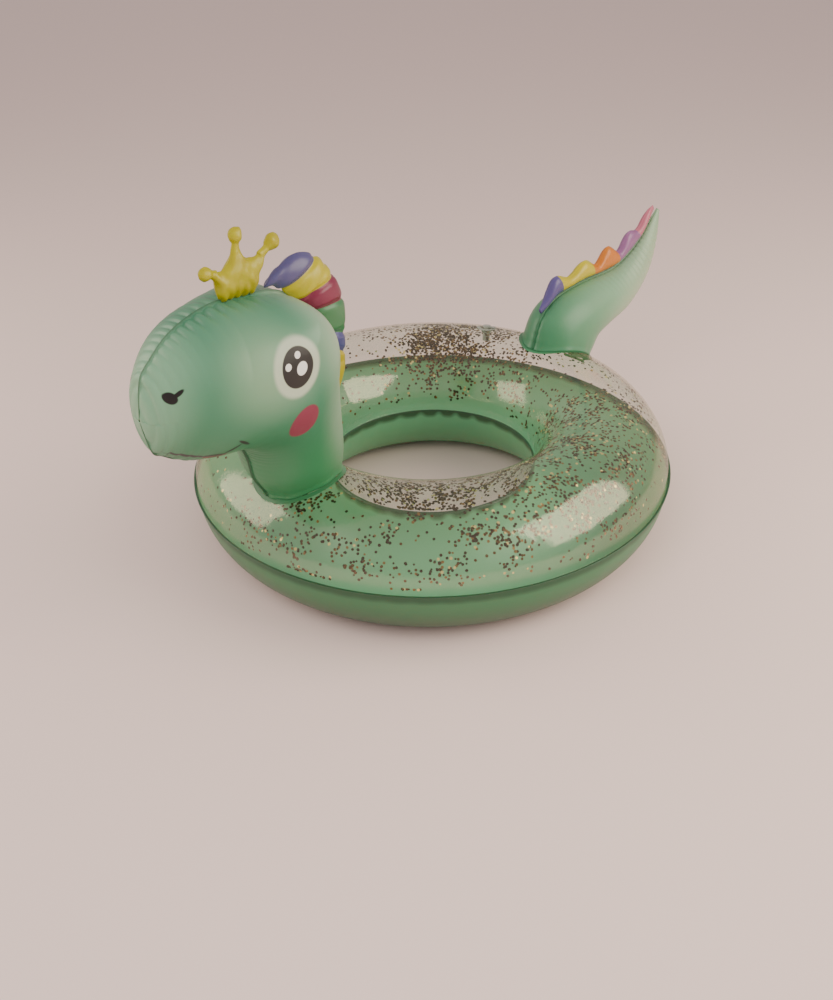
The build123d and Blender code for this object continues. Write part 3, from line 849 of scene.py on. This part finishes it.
def crown(material):
    """The crown: its forms fused into one skin, crumpled along the skin's own normals."""
    points, faces, first = [], [], 0
    for form in crown_forms():
        n, m = form.shape[:2]
        index = np.arange(n * m).reshape(n, m) + first
        faces += quads(index, True) + [index[0, ::-1].tolist(), index[-1].tolist()]
        points += form.reshape(-1, 3).tolist()
        first += n * m
    piece = new_piece("crown_skin", points, faces, material)
    skin = fused(piece)
    co = np.empty(len(skin.vertices) * 3, np.float32)
    normal = np.empty(len(skin.vertices) * 3, np.float32)
    skin.vertices.foreach_get("co", co)
    skin.vertices.foreach_get("normal", normal)
    co = co.reshape(-1, 3).astype(float)
    co += normal.reshape(-1, 3) * (crown_crumple(co) * MM)[:, None]
    skin.vertices.foreach_set("co", co.astype(np.float32).ravel())
    smooth_shaded(skin)
    skin.update()
    return piece


# ------------------------------------------------------------------ valves
def joint(name):
    """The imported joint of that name."""
    return next(j for j in frame["joints"] if j["name"] == name)


def valve_cone(name, material):
    """The soft cone between a valve's flange and its stem, from a profile turned about the valve's axis."""
    axis = Vector(joint(name + "_valve_pop_out")["axis"]).normalized()
    hinge = Vector(joint(name + "_plug_hinge")["pos_m"])
    across = Vector(joint(name + "_plug_hinge")["axis"])
    strap = across.cross(axis).normalized()
    origin = hinge - strap * HINGE_OUT * MM - axis * HINGE_UP * MM
    x = np.linspace(0, 1, 22)
    radius = CONE_WIDE + (CONE_NARROW - CONE_WIDE) * x + 0.5 * np.sin(3 * math.pi * x) * (1 - x)
    height = CONE_TOP - CONE_DEPTH * x ** 0.8
    turn = np.linspace(0, 2 * math.pi, 48, endpoint=False)
    r = radius[:, None] * MM
    points = np.stack([
        origin[k] + r * (np.cos(turn) * strap[k] + np.sin(turn) * across[k]) + height[:, None] * MM * axis[k]
        for k in range(3)], axis=-1)
    uv = np.stack(np.broadcast_arrays(x[:, None], turn[None, :]), axis=-1)
    piece = grid_piece(name + "_cone_skin", points, uv, material, closed=True, solid=0.5 * MM)
    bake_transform(piece)
    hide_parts(name + "_valve_cone")
    return piece


# ------------------------------------------------------------------ operators
def keep(piece, slot, *nodes):
    """Puts a piece on the float body, in place of the CAD nodes that it stands for."""
    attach(piece, "float")
    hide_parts(*nodes)


class SWIM_OT_ring(bpy.types.Operator):
    """Build the ring's clear upper sheet and mint lower sheet"""
    bl_idname = "swim.ring"
    bl_label = "Ring sheets"

    def execute(self, context):
        keep(ring_sheet("ring_clear_skin", 1, clear_film()), "clear_film", "ring_top_sheet")
        mint = ring_sheet("ring_mint_skin", -1, mint_with_painted_light_and_shade())
        # The film's inner faces get a much lighter copy of the mint: painted light where the inside is seen
        # through the clear film.
        mint.data.materials.append(mint_with_painted_light_and_shade("mint PVC film, inside, painted lighter", "#79bd92", "#74b88e", "#79bd92"))
        mint.modifiers["film"].material_offset = 1
        keep(mint, "mint_film", "ring_bottom_sheet")
        return {"FINISHED"}


class SWIM_OT_confetti(bpy.types.Operator):
    """Scatter the loose confetti inside the ring"""
    bl_idname = "swim.confetti"
    bl_label = "Confetti"

    def execute(self, context):
        keep(confetti(metallised_flake()), "confetti", "confetti")
        return {"FINISHED"}


class SWIM_OT_head(bpy.types.Operator):
    """Build the head's two printed panels"""
    bl_idname = "swim.head"
    bl_label = "Head panels"

    def execute(self, context):
        film = printed_mint_head()
        for name, side in (("left", 1), ("right", -1)):
            piece = panel("head_" + name + "_skin", HEAD, side, film, (40, 1.0, 0.4), fullness=HEAD_FULLNESS)
            keep(piece, "mint_film", "head_" + name + "_panel")
        return {"FINISHED"}


class SWIM_OT_tail(bpy.types.Operator):
    """Build the tail's two printed panels and its spiked crest"""
    bl_idname = "swim.tail"
    bl_label = "Tail panels and crest"

    def execute(self, context):
        film = printed_mint_tail()
        for name, side in (("left", 1), ("right", -1)):
            piece = panel("tail_" + name + "_skin", TAIL, side, film, (34, 0.3, 2.2), 260, 96)
            keep(piece, "mint_film", "tail_" + name + "_panel")
        bands = ((0, "#544a88"), (0.19, "#c4b805"), (0.44, "#cf7710"), (0.655, "#925f92"), (0.84, "#c06880"))
        film = banded("spike PVC film", bands, 0.02)
        spikes = crest_tube("crest_skin", CREST, film, (16, 0.5, 1.0))
        keep(spikes, "spike_film", "crest_left_panel", "crest_right_panel")
        return {"FINISHED"}


class SWIM_OT_mane(bpy.types.Operator):
    """Build the striped mane"""
    bl_idname = "swim.mane"
    bl_label = "Mane"

    def execute(self, context):
        bands = ((0, "#4f4c80"), (0.14, "#bdb400"), (0.265, "#7c163f"), (0.385, "#3b7f50"),
                 (0.55, "#464987"), (0.645, "#bdb104"), (0.90, "#8c2340"))
        lean = -0.11
        film = banded("striped PVC film", bands, lean)
        creases = [start for start, colour in bands[1:]]
        mane = crest_tube("mane_skin", MANE, film, (9, 2.6, 0.3), creases, lean)
        keep(mane, "striped_film", "mane_left_panel", "mane_right_panel")
        return {"FINISHED"}


class SWIM_OT_crown(bpy.types.Operator):
    """Build the crown"""
    bl_idname = "swim.crown"
    bl_label = "Crown"

    def execute(self, context):
        keep(crown(yellow_film()), "yellow_film", "crown_left_panel", "crown_right_panel")
        return {"FINISHED"}


class SWIM_OT_valves(bpy.types.Operator):
    """Give the valves their vinyl and soft cones, and the weld bands their film"""
    bl_idname = "swim.valves"
    bl_label = "Valves and weld bands"

    def execute(self, context):
        vinyl = milky_vinyl()
        for name in ("ring", "head", "tail"):
            valve_cone(name, vinyl)
            for part in ("flange", "stem", "plug", "flap"):
                dress(name + "_valve_" + part, vinyl)
        for name in ("neck_weld_band", "tail_weld_band"):
            dress(name, bpy.data.materials["mint PVC film"])
        return {"FINISHED"}


class SWIM_OT_stage(bpy.types.Operator):
    """Set the floor, the soft boxes and the camera"""
    bl_idname = "swim.stage"
    bl_label = "Stage"

    def execute(self, context):
        floor()
        lights()
        camera()
        return {"FINISHED"}


class SWIM_PT_panel(bpy.types.Panel):
    """The sidebar panel that lists every step"""
    bl_label = "Swim ring"
    bl_space_type = "VIEW_3D"
    bl_region_type = "UI"
    bl_category = "Swim ring"

    def draw(self, context):
        for operator in OPERATORS:
            self.layout.operator(operator.bl_idname)
        for kind, keys in (("ring", ("seam_fold", "clear_tint", "flakes", "flake_size")),
                           ("body", ("pleat_depth", "groove"))):
            for key in keys:
                self.layout.prop(settings(kind), key)


OPERATORS = (
    SWIM_OT_ring, SWIM_OT_confetti, SWIM_OT_head, SWIM_OT_tail, SWIM_OT_mane, SWIM_OT_crown,
    SWIM_OT_valves, SWIM_OT_stage,
)
CLASSES = (RingSettings, BodySettings) + OPERATORS + (SWIM_PT_panel,)


def dress(node, material):
    """Gives a CAD node its material."""
    data = frame["nodes"][node].data
    data.materials.clear()
    data.materials.append(material)


# ------------------------------------------------------------------ stage
def floor():
    """A plain pale floor: a large square just under the ring."""
    size, low = 40.0, -0.2 * MM
    material, tree, output = new_material("pale card")
    shader = add(tree, "ShaderNodeBsdfPrincipled", {"Base Color": linear("#f6e0dc"), "Roughness": 0.9})
    tree.links.new(shader.outputs[0], output.inputs["Surface"])
    corners = [(-size, -size, low), (size, -size, low), (size, size, low), (-size, size, low)]
    new_piece("floor", corners, [(0, 1, 2, 3)], material)


def towards(bearing, height):
    """The direction at a bearing, round from the head to the left side, and a height, in degrees."""
    a, e = math.radians(bearing), math.radians(height)
    return Vector((math.sin(a) * math.cos(e), -math.cos(a) * math.cos(e), math.sin(e)))


def soft_box(name, bearing, height, distance, size, power, colour):
    """A rectangular lamp that looks at the ring from a bearing and height in degrees."""
    back = towards(bearing, height)
    lamp = bpy.data.lights.new(name, "AREA")
    lamp.shape = "RECTANGLE"
    lamp.size, lamp.size_y = size
    lamp.energy = power
    lamp.color = colour[:3]
    holder = bpy.data.objects.new(name, lamp)
    holder.location = Vector((0, 0, 0.15)) + back * distance
    holder.rotation_mode = "QUATERNION"
    holder.rotation_quaternion = (-back).to_track_quat("-Z", "Y")
    bpy.context.scene.collection.objects.link(holder)
    return holder


def lights():
    """Warm soft boxes either side of the camera and above, and an even pale surround."""
    soft_box("right", 118, 28, 1.9, (1.7, 1.3), 34, linear("#fff0da"))
    soft_box("left", -50, 20, 1.9, (1.1, 1.1), 13, linear("#fff0da"))
    fill = soft_box("front", 30, 42, 2.2, (1.6, 1.3), 21, linear("#fff6ee"))
    fill.visible_glossy = False
    world = bpy.data.worlds.new("surround")
    world.use_nodes = True
    back = world.node_tree.nodes["Background"]
    back.inputs["Color"].default_value = linear("#f3e6e0")
    back.inputs["Strength"].default_value = 0.66
    bpy.context.scene.world = world


def camera():
    """The camera, 1.85 m from the ring's centre, 44 degrees round from the head and 30.3 above."""
    back = towards(44, 30.28)
    roll = math.radians(0.93)
    data = bpy.data.cameras.new("camera")
    data.lens = 47.54
    data.sensor_width = 36.0
    data.shift_x = -0.0155
    data.shift_y = -0.0421
    data.clip_end = 100
    holder = bpy.data.objects.new("camera", data)
    turn = (-back).to_track_quat("-Z", "Y").to_matrix().to_4x4() @ Matrix.Rotation(-roll, 4, "Z")
    holder.matrix_world = Matrix.Translation(Vector((0, 0, EQUATOR)) + back * 1.85) @ turn
    bpy.context.scene.collection.objects.link(holder)
    bpy.context.scene.camera = holder


# ------------------------------------------------------------------ add-on
def register():
    """Registers the classes and the two groups of settings."""
    for item in CLASSES:
        bpy.utils.register_class(item)
    bpy.types.Scene.swim_ring = PointerProperty(type=RingSettings)
    bpy.types.Scene.swim_body = PointerProperty(type=BodySettings)


def unregister():
    """Takes the settings and the classes away again."""
    del bpy.types.Scene.swim_body
    del bpy.types.Scene.swim_ring
    for item in reversed(CLASSES):
        bpy.utils.unregister_class(item)


def main():
    """Registers the add-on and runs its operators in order."""
    register()
    for operator in OPERATORS:
        group, name = operator.bl_idname.split(".")
        getattr(getattr(bpy.ops, group), name)()


if __name__ == "__main__":
    main()
